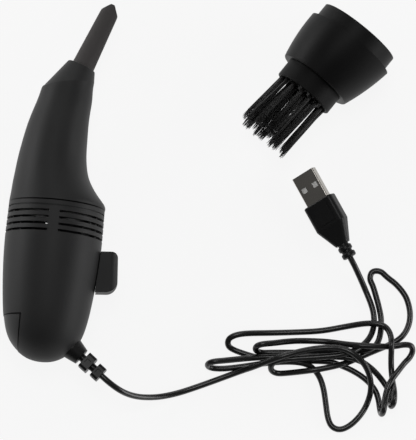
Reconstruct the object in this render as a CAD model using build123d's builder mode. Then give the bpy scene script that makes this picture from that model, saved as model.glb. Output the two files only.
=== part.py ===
"""Desktop mini vacuum cleaner with crevice nozzle, brush head and USB lead.

The parts lie on a table: z = 0 is the table, the vacuum lies on its belly with its nose
towards +Y, the brush head lies beside it towards +X. All sizes are in millimetres.
"""
import math
import os

from build123d import *

os.makedirs("parts", exist_ok=True)

# ---------------------------------------------------------------- driving dimensions
# Where things lie on the table
SEAM_X, SEAM_Y = -67.35, -12.0    # centre of the housing's front rim
BODY_LEAN = 5.6                   # degrees that the nose leans from +Y towards +X

# Housing: a turned form, closed by a dome at the tail
FRONT_RADIUS = 22.85
BELLY_RADIUS = 23.1
BELLY_AT = 18.0                   # behind the front rim
HOUSING_LENGTH = 74.7
WALL = 2.0
TAIL_SHAPE = [(0.918, 0.616), (0.842, 0.765), (0.70, 0.880), (0.42, 0.965)]
SKIN_ENDS = [(0.02, 1), (-1, 0)]  # the outline's directions at the rim and at the tail's tip
PARTING_GAP = 0.05                # between the two halves
RIM_GROOVE_AT, RIM_GROOVE_WIDTH, RIM_GROOVE_DEPTH = 2.3, 0.7, 0.5

# Exhaust slots
VENT_FIRST, VENT_PITCH, VENT_ROWS = 5.45, 3.05, 4
VENT_SLOT = 1.15
VENT_WEB = 5.0                    # solid web between the left and right slots
STRUT_ANGLES = (24, 156)
STRUT_WIDTH, STRUT_DEPTH, STRUT_ROOT = 1.3, 2.2, 0.5

# Fits
FIT = 0.15                        # push fits between mouldings
SLIP = 0.1                        # between pieces that move on each other
SEAT = 0.05                       # between fixed pieces

# Nose cover: (place along the axis, left edge, right edge, half depth), the last three as shares
# of the housing's front radius
NOSE_SECTIONS = [
    (0.0, -1.000, 1.000, 1.000),
    (-3.5, -0.989, 0.951, 0.982),
    (-7.0, -0.978, 0.819, 0.956),
    (-10.5, -0.967, 0.708, 0.925),
    (-14.5, -0.949, 0.611, 0.889),
    (-20.0, -0.925, 0.540, 0.845),
    (-26.5, -0.885, 0.502, 0.792),
    (-33.5, -0.832, 0.490, 0.739),
    (-40.5, -0.765, 0.482, 0.681),
    (-47.5, -0.676, 0.492, 0.611),
    (-53.0, -0.608, 0.504, 0.553),
]
CREASE_X, CREASE_AT, CREASE_TILT = -0.45, -59.2, 9.7
CREASE_WIDTH, CREASE_DEPTH = 24.4, 22.8
MOUTH_X, MOUTH_AT, NOZZLE_LEAN = 5.4, -68.45, 20.15
MOUTH_RADIUS, MOUTH_SHIFT, MOUTH_ROUND = 6.95, -0.6, 0.6
NOSE_WALL = 1.8
SPIGOT_LENGTH, SPIGOT_WALL, SPIGOT_ROOT = 3.1, 1.6, 2.5
SOCKET_DEPTH, SOCKET_WALL = 10.0, 0.8

# Crevice nozzle
NOZZLE_RADIUS = 5.4
NOZZLE_PLUG = 9.5
NOZZLE_REACH = 34.2
NOZZLE_TIP_WIDTH, NOZZLE_TIP_DEPTH = 8.4, 5.0
NOZZLE_WALL = 0.9
NOZZLE_BEVEL_AT = 30.0            # where the oblique cut crosses the nozzle's axis
NOZZLE_SHOULDER = 0.05            # the visible part is this much wider than the plug
NOZZLE_POINT_FROM, NOZZLE_POINT_AT, NOZZLE_POINT_WIDTH = 29.2, 33.2, 1.8
NOZZLE_POINT_ROUND = 0.8

# Filter
FILTER_THICKNESS = 1.2
FILTER_HEIGHT = 15.0
FILTER_RIM = 3.6                  # width of the filter frame's ring
FILTER_FRAME_DEPTH = 2.8

# Intake plate and bulkhead
INTAKE_PLATE, INTAKE_EYE = 0.8, 9.0
LEDGE, LEDGE_DEPTH = 0.75, 2.2
BULKHEAD_AT, BULKHEAD = 18.6, 2.0

# Motor
MOTOR_RADIUS, MOTOR_LENGTH, MOTOR_SKIN = 12.0, 30.0, 1.0
MOTOR_NECK_RADIUS, MOTOR_NECK = 3.1, 1.6
BUSH_RADIUS, BUSH_LENGTH = 2.2, 3.2
SHAFT_RADIUS, SHAFT_RUN = 1.0, 0.03
END_BELL = 3.0
MAGNET, MAGNET_LENGTH, MAGNET_ARC = 1.6, 20.0, 120.0
ARMATURE_GAP, ARMATURE_LENGTH, ARMATURE_SLOT = 0.75, 16.0, 1.4
WINDING_INSET, WINDING_LENGTH = 1.2, 2.2
COMMUTATOR_RADIUS, COMMUTATOR_LENGTH = 2.4, 3.2
MOTOR_SCREW_RADIUS, MOTOR_SCREW_INSET = 1.0, 4.0

# Impeller
IMPELLER_CLEARANCE, IMPELLER_HEIGHT, IMPELLER_PLATE = 0.9, 8.0, 1.2
IMPELLER_GAP = 1.8                # to the bulkhead
IMPELLER_HUB, BLADES, BLADE, BLADE_SWEEP = 3.4, 8, 0.9, 28.0

# Slide switch on the right-hand side
KNOB_AT = 29.8                    # middle of the knob, at rest
KNOB_LENGTH, KNOB_WIDTH, KNOB_HEIGHT = 19.5, 9.0, 8.9
KNOB_RISE = 4.5                   # degrees that its outer face rises towards the tail
KNOB_GAP = 0.45
KNOB_ROOT = 5.0                   # how far its block reaches inwards before it is cut to fit
KNOB_FRONT_ROUND, KNOB_REAR_ROUND, KNOB_SIDE_ROUND = 2.6, 5.6, 4.0
SWITCH_TRAVEL = 3.0
STEM_LENGTH, STEM_WIDTH = 8.0, 3.0
SWITCH_PLATE_LENGTH, SWITCH_PLATE_WIDTH, SWITCH_PLATE = 9.0, 8.0, 1.2
SWITCH_PLATE_GAP = 0.15           # from the sliding plate's corners to the housing's inside
SWITCH_BODY = (4.1, 6.4, 12.0)
ACTUATOR, ACTUATOR_GRIP = 2.0, 1.3

# Circuit board
BOARD_GAP, BOARD = 0.5, 1.0        # gap between motor and board
BOARD_FROM, BOARD_LENGTH, BOARD_HALF_WIDTH = 22.5, 21.5, 9.0
RAIL_AT, RAIL_LENGTH, RAIL = 36.0, 12.0, 1.1
CAPACITOR_RADIUS, CAPACITOR_LENGTH = 2.0, 5.0
WIRE_RADIUS = 0.5

# Screws that hold the halves: (x as a share of the belly radius, along as a share of the length)
SCREW_SHARES = [(-0.748, 0.337), (-0.670, 0.589), (-0.065, 0.817), (0.674, 0.676)]
BOSS_RADIUS = 2.5
SCREW_RADIUS, SCREW_HEAD_RADIUS, SCREW_HEAD = 1.0, 1.9, 1.5
SCREW_SEAT, SCREW_GRIP = 6.5, 5.0

# Corner cover at the tail's left side
CORNER_X, CORNER_AT = -11.3, 54.7
CORNER_GAP, CORNER_SINK = 0.15, 0.2
CORNER_LIP, CORNER_LIP_REACH = 1.1, 2.2

# Strain relief: leaves the dome obliquely
RELIEF_X, RELIEF_AT, RELIEF_TURN = 14.13, 66.95, 52.5
RELIEF_BASE_RADIUS, RELIEF_CONE_END_RADIUS, RELIEF_CONE = 5.45, 4.2, 6.0
RELIEF_INSIDE, RELIEF_FLANGE_RADIUS, RELIEF_FLANGE = 5.6, 6.6, 1.2
RELIEF_NECK_RADIUS = 1.95
RELIEF_RIBS = [(7.9, 4.5, 8.4), (14.9, 4.0, 7.4)]   # from, thickness, width across
RELIEF_RIB_ROUND, RELIEF_WINDOW = 1.5, (2.4, 1.1)
STUB_INSIDE = 12.0
CORD_STOP_RADIUS, CORD_STOP = 3.2, 3.6

# Lead
CORD_DIAMETER = 2.9
CORD_BORE = 3.0
HANK_HEIGHT = 12.0
HANK_ROUND = 2.0

# USB-A plug
PLUG_X, PLUG_Y = 50.35, 6.8       # above this point lies the shell's open end
PLUG_HEADING = -61.4              # degrees from +X to the lead's end, seen from above
PLUG_ROLL = 26.0
SHELL = (12.0, 4.5, 0.3)          # width, thickness, sheet
SHELL_EXPOSED, SHELL_LENGTH, SHELL_ROUND = 15.3, 18.8, 0.6
SHELL_WINDOW, SHELL_WINDOW_SPREAD, SHELL_WINDOW_AT = 2.7, 3.1, 7.6
TONGUE_THICKNESS, TONGUE_INSET = 1.9, 0.8
CONTACTS, CONTACT_PITCH, CONTACT_WIDTH, CONTACT_THICKNESS = 4, 2.3, 1.0, 0.2
OVERMOULD = (16.0, 8.0)
OVERMOULD_STRAIGHT, OVERMOULD_TAPER = 13.2, 10.5
OVERMOULD_ROUND, OVERMOULD_EDGE = 2.2, 0.8
OVERMOULD_NECK = (7.2, 5.4)
PANEL = (9.0, 10.0, 0.25)
PLUG_RIBS, PLUG_RIB, PLUG_RIB_RADIUS, PLUG_RIB_NECK = 2, 2.6, 3.45, 2.6
PLUG_RIB_PITCH, PLUG_RIB_ROUND = 3.6, 0.8

# Brush head: plugs into the housing in place of the nose cover
BRUSH_X, BRUSH_Y = 72.3, 67.0     # shoulder centre
BRUSH_HEADING = -128.7            # degrees from +X to the bristles, seen from above
COLLAR_LENGTH, COLLAR_WALL, COLLAR_ROOT = 7.3, 1.8, 2.0
COLLAR_GROOVE, COLLAR_GROOVE_DEPTH = 0.3, 0.2   # relief between the collar and the shoulder
CUP_LENGTH, CUP_WALL = 24.0, 2.0
CUP_DRIFT = 2.4                   # how far the cup's end and the block lie off the collar's axis
CUP_MIDDLE_AT, CUP_MIDDLE_RADIUS = 9.0, 21.9
CUP_END_WIDTH, CUP_END_DEPTH = 36.7, 41.0
CUP_FLOOR = 6.0                   # thickness of the wall that carries the bristle block
CUP_EDGE = 0.8
BLOCK_RADIUS, BLOCK_PROUD, BLOCK_EYE = 15.0, 9.2, 4.5
BLOCK_HEAD_RADIUS, BLOCK_HEAD = 15.8, 2.0
TUFT_RINGS = [(12.6, 16), (7.9, 9)]                 # ring radius, tufts
TUFT_RADIUS, TUFT_TIP_RADIUS, TUFT_LENGTH, TUFT_ROOT = 1.25, 0.7, 30.4, 1.0
TUFT_LEAN, TUFT_SWAY = 1.4, 4.6   # degrees that the tufts close in, and that all lean sideways
TUFT_BEDDING, TUFT_STEP = 0.5, 0.1   # how the leaning rod sits in its straight foot

# ---------------------------------------------------------------- frames
lean = math.radians(BODY_LEAN)
SIDEWAYS = Vector(math.cos(lean), -math.sin(lean), 0)
TAILWARD = Vector(-math.sin(lean), -math.cos(lean), 0)
# x to the right, y up, z from the front rim to the tail
BODY = Plane(origin=(SEAM_X, SEAM_Y, BELLY_RADIUS), x_dir=SIDEWAYS, z_dir=TAILWARD)
BODY_AXIS = Axis(BODY.origin, BODY.z_dir)
# x outwards from the axis, y towards the tail
HALF_PLANE = Plane(origin=BODY.origin, x_dir=BODY.x_dir, z_dir=-BODY.y_dir)
PARTING = Plane(origin=BODY.origin, x_dir=BODY.x_dir, z_dir=BODY.y_dir)


def spot(x, y, along, turn=(0, 0, 0)):
    """A place in the vacuum's own axes."""
    return BODY.location * Location((x, y, along), turn)


def tilted(x, along, angle):
    """A plane across the vacuum, turned about the vertical through (x, along)."""
    return Plane(spot(x, 0, along, (0, angle, 0)))


CREASE = tilted(CREASE_X, CREASE_AT, CREASE_TILT)
MOUTH = tilted(MOUTH_X, MOUTH_AT, -NOZZLE_LEAN)
RELIEF = tilted(RELIEF_X, RELIEF_AT, RELIEF_TURN)
spigot_radius = FRONT_RADIUS - WALL - FIT
screw_spots = [(BELLY_RADIUS * x, HOUSING_LENGTH * along) for x, along in SCREW_SHARES]


# ---------------------------------------------------------------- shared shapes
def disc(plane, start, length, radius, hole=0.0):
    """A disc or ring across a plane's normal."""
    with BuildPart() as form:
        with BuildSketch(plane.offset(start)):
            Circle(radius)
            if hole > 0:
                Circle(hole, mode=Mode.SUBTRACT)
        extrude(amount=length)
    return form.part


def wall_line(inset):
    """Points of the housing's outline, moved square to it by the inset."""
    skin = [(FRONT_RADIUS, 0.0), (BELLY_RADIUS, BELLY_AT)]
    skin += [(BELLY_RADIUS * radius, HOUSING_LENGTH * along) for radius, along in TAIL_SHAPE]
    skin += [(0.0, HOUSING_LENGTH)]
    line = []
    for index, (radius, along) in enumerate(skin):
        before = skin[max(index - 1, 0)]
        after = skin[min(index + 1, len(skin) - 1)]
        chord = Vector(after[0] - before[0], after[1] - before[1]).normalized()
        if index == 0:
            chord = Vector(0, 1)
        if index == len(skin) - 1:
            chord = Vector(-1, 0)
        line.append((radius - inset * chord.Y, along + inset * chord.X))
    return line


with BuildLine() as skin_outline:
    Spline(*wall_line(0), tangents=SKIN_ENDS)


def skin_radius(along):
    """The housing's outer radius at a place along it."""
    low, high = 0.0, 1.0
    for _ in range(30):
        middle = (low + high) / 2
        if (skin_outline.line @ middle).Y < along:
            low = middle
        else:
            high = middle
    return (skin_outline.line @ low).X


def skin_form(inset):
    """Everything inside the housing's skin, moved square to it by the inset."""
    with BuildPart() as form:
        with BuildSketch(HALF_PLANE):
            with BuildLine():
                outer = wall_line(inset)
                Spline(*outer, tangents=SKIN_ENDS)
                Polyline(outer[0], (outer[0][0], -HOUSING_LENGTH), (0, -HOUSING_LENGTH), outer[-1])
            make_face()
        revolve(axis=BODY_AXIS)
    return form.part


def wall_turned(outer_inset, inner_inset, up):
    """Half a turn of housing wall between two insets: up = 1 above the parting, -1 below."""
    outer = wall_line(outer_inset)
    inner = wall_line(inner_inset)
    with BuildPart() as form:
        with BuildSketch(HALF_PLANE):
            with BuildLine():
                Spline(*outer, tangents=SKIN_ENDS)
                Spline(*inner, tangents=SKIN_ENDS)
                Line(outer[0], inner[0])
                Line(outer[-1], inner[-1])
            make_face()
        revolve(axis=Axis(BODY.origin, BODY.z_dir * up), revolution_arc=180)
    return form.part


def housing_half(up):
    """One moulded half of the housing with its slots, ledges, rails and screw bosses."""
    with BuildPart() as half:
        add(wall_turned(0, WALL, up))
        with BuildSketch(BODY.offset(RIM_GROOVE_AT)):
            Circle(BELLY_RADIUS + 1)
            Circle(skin_radius(RIM_GROOVE_AT) - RIM_GROOVE_DEPTH, mode=Mode.SUBTRACT)
        extrude(amount=RIM_GROOVE_WIDTH, mode=Mode.SUBTRACT)
        for row in range(VENT_ROWS):
            with BuildSketch(BODY.offset(VENT_FIRST + row * VENT_PITCH - VENT_SLOT / 2)):
                Circle(BELLY_RADIUS + 1)
                Rectangle(VENT_WEB, 3 * BELLY_RADIUS, mode=Mode.SUBTRACT)
            extrude(amount=VENT_SLOT, mode=Mode.SUBTRACT)

        # Struts that bridge the slots on the inside
        vent_length = (VENT_ROWS - 1) * VENT_PITCH + 2 * VENT_SLOT
        strut_middle = VENT_FIRST + (VENT_ROWS - 1) * VENT_PITCH / 2
        strut_radius = skin_radius(strut_middle) - WALL - STRUT_DEPTH / 2 + STRUT_ROOT
        for angle in STRUT_ANGLES:
            turn = math.radians(angle) * up
            x = strut_radius * math.cos(turn)
            y = strut_radius * math.sin(turn)
            with Locations(spot(x, y, strut_middle, (0, 0, math.degrees(turn)))):
                Box(STRUT_DEPTH, STRUT_WIDTH, vent_length)

        # Ledges for the intake plate and the bulkhead
        ledge_starts = (
            SPIGOT_LENGTH + INTAKE_PLATE + 3 * SEAT,
            BULKHEAD_AT - SEAT - LEDGE,
            BULKHEAD_AT + BULKHEAD + SEAT,
        )
        for start in ledge_starts:
            outside = skin_radius(start) - WALL / 2
            with BuildSketch(BODY.offset(start)):
                Circle(outside)
                Circle(outside - LEDGE_DEPTH - WALL / 2, mode=Mode.SUBTRACT)
                with Locations((0, -up * BELLY_RADIUS)):
                    Rectangle(4 * BELLY_RADIUS, 2 * BELLY_RADIUS, mode=Mode.SUBTRACT)
            extrude(amount=LEDGE)

        # Rails either side of the circuit board
        for rail_x in (board_x - SEAT - RAIL / 2, board_x + BOARD + SEAT + RAIL / 2):
            far = math.sqrt((skin_radius(RAIL_AT) - WALL / 2) ** 2 - (rail_x + RAIL / 2) ** 2)
            near = BOARD_HALF_WIDTH - 0.8
            with Locations(spot(rail_x, up * (near + far) / 2, RAIL_AT)):
                Box(RAIL, far - near, RAIL_LENGTH)

        # Screw bosses
        for x, along in screw_spots:
            reach = math.sqrt((skin_radius(along + BOSS_RADIUS) - WALL / 2) ** 2 - x**2)
            with Locations(spot(x, up * reach / 2, along, (90, 0, 0))):
                Cylinder(BOSS_RADIUS, reach)
        add(wall_beyond(up), mode=Mode.SUBTRACT)
        for x, along in screw_spots:
            if up > 0:
                with Locations(spot(x, (SCREW_GRIP + 1) / 2, along, (90, 0, 0))):
                    Cylinder(SCREW_RADIUS + SEAT, SCREW_GRIP + 1, mode=Mode.SUBTRACT)
            else:
                with Locations(spot(x, -SCREW_SEAT / 2, along, (90, 0, 0))):
                    Cylinder(SCREW_RADIUS + SEAT, SCREW_SEAT, mode=Mode.SUBTRACT)
                with Locations(spot(x, -SCREW_SEAT - BELLY_RADIUS / 2, along, (90, 0, 0))):
                    Cylinder(SCREW_HEAD_RADIUS + SEAT, BELLY_RADIUS, mode=Mode.SUBTRACT)

        # Openings for the switch stem and the strain relief, and the corner cover's place
        slot_length = STEM_LENGTH + SWITCH_TRAVEL + 2 * FIT
        with Locations(spot(BELLY_RADIUS, 0, KNOB_AT - SWITCH_TRAVEL / 2)):
            Box(4 * WALL, STEM_WIDTH + 2 * FIT, slot_length, mode=Mode.SUBTRACT)
        add(disc(RELIEF, -RELIEF_INSIDE, 4 * RELIEF_INSIDE, RELIEF_BASE_RADIUS + SEAT),
            mode=Mode.SUBTRACT)
        add(corner_block(0), mode=Mode.SUBTRACT)
        split(bisect_by=PARTING.offset(up * PARTING_GAP / 2), keep=Keep.TOP if up > 0 else Keep.BOTTOM)
    return half.part


def wall_beyond(up):
    """Everything outside the housing's skin on one side, to trim ribs and bosses."""
    with BuildPart() as form:
        with Locations(spot(0, up * BELLY_RADIUS, HOUSING_LENGTH / 2)):
            Box(4 * BELLY_RADIUS, 2 * BELLY_RADIUS, 2 * HOUSING_LENGTH)
        add(skin_form(0), mode=Mode.SUBTRACT)
    return form.part


def corner_block(gap):
    """The corner of the tail that the corner cover fills, less a gap all round."""
    with BuildPart() as form:
        far = 2 * BELLY_RADIUS
        with Locations(spot(CORNER_X - gap - far / 2, 0, CORNER_AT + gap + far / 2)):
            Box(far, 2 * far, far)
    return form.part


def nose_form(inset):
    """The nose cover's solid form, inside its skin by the inset."""
    with BuildPart() as form:
        for along, left_share, right_share, depth_share in NOSE_SECTIONS:
            left = FRONT_RADIUS * left_share
            right = FRONT_RADIUS * right_share
            with BuildSketch(BODY.offset(along)):
                with Locations(((left + right) / 2, 0)):
                    Ellipse((right - left) / 2 - inset, FRONT_RADIUS * depth_share - inset)
        with BuildSketch(CREASE):
            Ellipse(CREASE_WIDTH / 2 - inset, CREASE_DEPTH / 2 - inset)
        loft()
        with BuildSketch(CREASE):
            Ellipse(CREASE_WIDTH / 2 - inset, CREASE_DEPTH / 2 - inset)
        with BuildSketch(MOUTH):
            with Locations((MOUTH_SHIFT, 0)):
                Circle(MOUTH_RADIUS - inset)
        loft(ruled=True)
    return form.part


def nozzle_form(inset):
    """The crevice nozzle: a round plug, and a tube that flattens towards its tip."""
    with BuildPart() as form:
        add(disc(MOUTH, 0, NOZZLE_PLUG, NOZZLE_RADIUS - inset))
        with BuildSketch(MOUTH):
            Circle(NOZZLE_RADIUS + NOZZLE_SHOULDER - inset)
        with BuildSketch(MOUTH.offset(-NOZZLE_REACH)):
            Ellipse(NOZZLE_TIP_WIDTH / 2 - inset, NOZZLE_TIP_DEPTH / 2 - inset)
        loft()
    return form.part


def wire(points, radius):
    """A round wire along straight runs joined by tangent arcs."""
    radii = bend_radii(points)
    with BuildPart() as form:
        with BuildLine() as path:
            FilletPolyline(*points, radius=radii)
        with BuildSketch(Plane(origin=path.line @ 0, z_dir=path.line % 0)):
            Circle(radius)
        sweep(path=path.line)
    return form.part


def bend_radii(points):
    """The largest bend that each corner's two runs allow."""
    corners = [Vector(*point) for point in points]
    radii = []
    for before, here, after in zip(corners, corners[1:], corners[2:]):
        half_turn = math.radians((here - before).get_angle(after - here)) / 2
        shorter = min((here - before).length, (after - here).length)
        radii.append(0.45 * shorter / math.tan(half_turn))
    return radii


def body_points(points):
    """Row positions of points given in the vacuum's own axes."""
    return [tuple(spot(*point).position) for point in points]


def write(part, name):
    """Label a finished piece and write it to its own file."""
    part.label = name
    export_step(part, f"parts/{name}.step")


board_x = MOTOR_RADIUS + BOARD_GAP
board_end = BOARD_FROM + BOARD_LENGTH
switch_plate_wall = skin_radius(KNOB_AT + SWITCH_PLATE_LENGTH / 2) - WALL
switch_plate_x = math.sqrt(switch_plate_wall**2 - (SWITCH_PLATE_WIDTH / 2) ** 2)
switch_plate_x -= SWITCH_PLATE_GAP + SWITCH_PLATE

# ---------------------------------------------------------------- housing
with BuildPart() as upper_shell:
    add(housing_half(1))
write(upper_shell.part, "upper_shell")

with BuildPart() as lower_shell:
    add(housing_half(-1))
write(lower_shell.part, "lower_shell")

with BuildPart() as housing_screws:
    for screw_x, screw_at in screw_spots:
        with Locations(spot(screw_x, (SCREW_GRIP - SCREW_SEAT) / 2, screw_at, (90, 0, 0))):
            Cylinder(SCREW_RADIUS, SCREW_SEAT + SCREW_GRIP)
        with Locations(spot(screw_x, -SCREW_SEAT - SCREW_HEAD / 2, screw_at, (90, 0, 0))):
            Cylinder(SCREW_HEAD_RADIUS, SCREW_HEAD)
        with Locations(spot(screw_x, -SCREW_SEAT - SCREW_HEAD, screw_at)):
            Box(0.5, 0.9, 2.4, mode=Mode.SUBTRACT)
            Box(2.4, 0.9, 0.5, mode=Mode.SUBTRACT)
write(housing_screws.part, "housing_screws")

# Tail corner: a sunk piece of the wall with a lip that hooks behind the shells
with BuildPart() as corner_cover:
    for side in (1, -1):
        add(wall_turned(CORNER_SINK, WALL, side))
    add(corner_block(CORNER_GAP), mode=Mode.INTERSECT)
    with BuildPart(mode=Mode.PRIVATE) as corner_lip:
        for side in (1, -1):
            add(wall_turned(WALL + SEAT, WALL + SEAT + CORNER_LIP, side))
        add(corner_block(-CORNER_LIP_REACH), mode=Mode.INTERSECT)
    with BuildPart(mode=Mode.PRIVATE) as corner_bridge:
        for side in (1, -1):
            add(wall_turned(WALL - 0.5, WALL + SEAT + 0.5, side))
        add(corner_block(2 * CORNER_GAP), mode=Mode.INTERSECT)
    add(corner_lip.part)
    add(corner_bridge.part)
write(corner_cover.part, "corner_cover")

# ---------------------------------------------------------------- nose and nozzle
with BuildPart() as nose_cover:
    add(nose_form(0))
    fillet(nose_cover.faces().sort_by(Axis(MOUTH.origin, MOUTH.z_dir))[0].edges(), radius=MOUTH_ROUND)
    add(nose_form(NOSE_WALL), mode=Mode.SUBTRACT)
    add(disc(BODY, -SPIGOT_ROOT, SPIGOT_ROOT, spigot_radius + 0.8, spigot_radius - SPIGOT_WALL))
    add(disc(BODY, -SPIGOT_ROOT, SPIGOT_ROOT + SPIGOT_LENGTH,
             spigot_radius, spigot_radius - SPIGOT_WALL))
    socket_bore = NOZZLE_RADIUS + SLIP
    add(disc(MOUTH, 0, SOCKET_DEPTH, socket_bore + SOCKET_WALL))
    add(disc(MOUTH, -1, SOCKET_DEPTH + 2, socket_bore), mode=Mode.SUBTRACT)
write(nose_cover.part, "nose_cover")

with BuildPart() as nozzle:
    add(nozzle_form(0))
    add(nozzle_form(NOZZLE_WALL), mode=Mode.SUBTRACT)
    bevel_run = NOZZLE_REACH - NOZZLE_BEVEL_AT
    bevel_angle = math.degrees(math.atan2(bevel_run, NOZZLE_TIP_DEPTH / 2))
    bevel_place = MOUTH.location * Location((0, 0, -NOZZLE_BEVEL_AT), (-bevel_angle, 0, 0))
    split(bisect_by=Plane(bevel_place), keep=Keep.TOP)
    # Seen from above, the tip ends in a blunt point
    with BuildPart(mode=Mode.PRIVATE) as nozzle_plan:
        with BuildSketch(Plane(origin=MOUTH.origin, x_dir=MOUTH.x_dir, z_dir=MOUTH.y_dir)) as plan:
            half_tube = NOZZLE_TIP_WIDTH / 2
            half_point = NOZZLE_POINT_WIDTH / 2
            with BuildLine():
                Polyline(
                    (-2 * half_tube, -2 * NOZZLE_PLUG), (2 * half_tube, -2 * NOZZLE_PLUG),
                    (2 * half_tube, 0), (half_tube, NOZZLE_POINT_FROM),
                    (half_point, NOZZLE_POINT_AT), (-half_point, NOZZLE_POINT_AT),
                    (-half_tube, NOZZLE_POINT_FROM), (-2 * half_tube, 0), close=True,
                )
            make_face()
            fillet(plan.vertices().group_by(Axis.Y)[-1], radius=NOZZLE_POINT_ROUND)
        extrude(amount=2 * NOZZLE_RADIUS, both=True)
    add(nozzle_plan.part, mode=Mode.INTERSECT)
write(nozzle.part, "nozzle")

# ---------------------------------------------------------------- filter
intake_at = SPIGOT_LENGTH + SEAT
filter_radius = spigot_radius - SPIGOT_WALL - FIT
with BuildPart() as filter_frame:
    add(disc(BODY, intake_at - SEAT - FILTER_FRAME_DEPTH, FILTER_FRAME_DEPTH,
             filter_radius, filter_radius - FILTER_RIM))
write(filter_frame.part, "filter_frame")

filter_base = intake_at - 2 * SEAT - FILTER_FRAME_DEPTH
filter_outside = filter_radius - FILTER_RIM + 1.5
with BuildPart() as filter_bag:
    with BuildSketch(HALF_PLANE):
        with Locations((0, filter_base)):
            Ellipse(filter_outside, FILTER_HEIGHT)
            Ellipse(filter_outside - FILTER_THICKNESS, FILTER_HEIGHT - FILTER_THICKNESS,
                    mode=Mode.SUBTRACT)
        with Locations((filter_outside / 2, filter_base - FILTER_HEIGHT / 2)):
            Rectangle(filter_outside, FILTER_HEIGHT, mode=Mode.INTERSECT)
    revolve(axis=BODY_AXIS)
write(filter_bag.part, "filter_bag")

plate_radius = skin_radius(intake_at) - WALL - FIT
with BuildPart() as intake_plate:
    add(disc(BODY, intake_at, INTAKE_PLATE, plate_radius, INTAKE_EYE))
write(intake_plate.part, "intake_plate")

# ---------------------------------------------------------------- motor and fan
motor_at = BULKHEAD_AT + BULKHEAD
motor_end = motor_at + MOTOR_LENGTH
bulkhead_radius = skin_radius(BULKHEAD_AT) - WALL - FIT
screw_spread = MOTOR_RADIUS - MOTOR_SCREW_INSET
screw_offsets = (-screw_spread, screw_spread)
with BuildPart() as bulkhead:
    add(disc(BODY, BULKHEAD_AT, BULKHEAD, bulkhead_radius, MOTOR_NECK_RADIUS + SEAT))
    for offset_x in screw_offsets:
        with Locations(spot(offset_x, 0, BULKHEAD_AT + BULKHEAD / 2)):
            Cylinder(MOTOR_SCREW_RADIUS + SEAT, 2 * BULKHEAD, mode=Mode.SUBTRACT)
write(bulkhead.part, "bulkhead")

with BuildPart() as motor_screws:
    for offset_x in screw_offsets:
        with Locations(spot(offset_x, 0, BULKHEAD_AT + (BULKHEAD + MOTOR_SKIN) / 2)):
            Cylinder(MOTOR_SCREW_RADIUS, BULKHEAD + MOTOR_SKIN)
        with Locations(spot(offset_x, 0, BULKHEAD_AT - 0.4)):
            Cylinder(MOTOR_SCREW_RADIUS + 0.8, 0.8)
write(motor_screws.part, "motor_screws")

with BuildPart() as motor_can:
    add(disc(BODY, motor_at, MOTOR_LENGTH, MOTOR_RADIUS, MOTOR_RADIUS - MOTOR_SKIN))
    add(disc(BODY, motor_at, MOTOR_SKIN, MOTOR_RADIUS - MOTOR_SKIN / 2))
    add(disc(BODY, motor_at - MOTOR_NECK, MOTOR_NECK + MOTOR_SKIN, MOTOR_NECK_RADIUS))
    add(disc(BODY, motor_at - 2 * MOTOR_NECK, 4 * MOTOR_NECK, BUSH_RADIUS), mode=Mode.SUBTRACT)
    for offset_x in screw_offsets:
        with Locations(spot(offset_x, 0, motor_at)):
            Cylinder(MOTOR_SCREW_RADIUS + SEAT, 3 * MOTOR_SKIN, mode=Mode.SUBTRACT)
write(motor_can.part, "motor_can")

front_bush_at = motor_at - MOTOR_NECK
rear_bush_at = motor_end - END_BELL + 1.0
for bush_name, bush_at in (("front_bush", front_bush_at), ("rear_bush", rear_bush_at)):
    with BuildPart() as bush:
        add(disc(BODY, bush_at, BUSH_LENGTH, BUSH_RADIUS, SHAFT_RADIUS + SHAFT_RUN))
    write(bush.part, bush_name)

with BuildPart() as motor_end_bell:
    add(disc(BODY, motor_end - END_BELL, END_BELL, MOTOR_RADIUS - MOTOR_SKIN - SEAT, BUSH_RADIUS))
    add(disc(BODY, motor_end, MOTOR_NECK, MOTOR_NECK_RADIUS, BUSH_RADIUS))
    for offset_x in screw_offsets:
        with Locations(spot(offset_x, 0, motor_end)):
            Box(0.5 + SEAT, 2.5 + SEAT, 4 * END_BELL, mode=Mode.SUBTRACT)
write(motor_end_bell.part, "motor_end_bell")

magnet_outside = MOTOR_RADIUS - MOTOR_SKIN - SEAT
armature_radius = magnet_outside - MAGNET - ARMATURE_GAP
winding_radius = armature_radius - WINDING_INSET
with BuildPart() as motor_magnets:
    for start_angle in (-MAGNET_ARC / 2, 180 - MAGNET_ARC / 2):
        with BuildSketch(BODY.offset(motor_at + 3.0)):
            with BuildLine():
                CenterArc((0, 0), magnet_outside, start_angle, MAGNET_ARC)
                CenterArc((0, 0), magnet_outside - MAGNET, start_angle, MAGNET_ARC)
                for end_angle in (start_angle, start_angle + MAGNET_ARC):
                    reach_x = math.cos(math.radians(end_angle))
                    reach_y = math.sin(math.radians(end_angle))
                    Line((magnet_outside * reach_x, magnet_outside * reach_y),
                         ((magnet_outside - MAGNET) * reach_x, (magnet_outside - MAGNET) * reach_y))
            make_face()
        extrude(amount=MAGNET_LENGTH)
write(motor_magnets.part, "motor_magnets")

armature_at = motor_at + 5.0
with BuildPart() as armature_core:
    add(disc(BODY, armature_at, ARMATURE_LENGTH, armature_radius, SHAFT_RADIUS))
    for pole in range(3):
        turn = math.radians(120 * pole)
        slot_x, slot_y = armature_radius * math.cos(turn), armature_radius * math.sin(turn)
        with Locations(spot(slot_x, slot_y, armature_at + ARMATURE_LENGTH / 2, (0, 0, 120 * pole))):
            Box(6.0, ARMATURE_SLOT, 2 * ARMATURE_LENGTH, mode=Mode.SUBTRACT)
write(armature_core.part, "armature_core")

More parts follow.
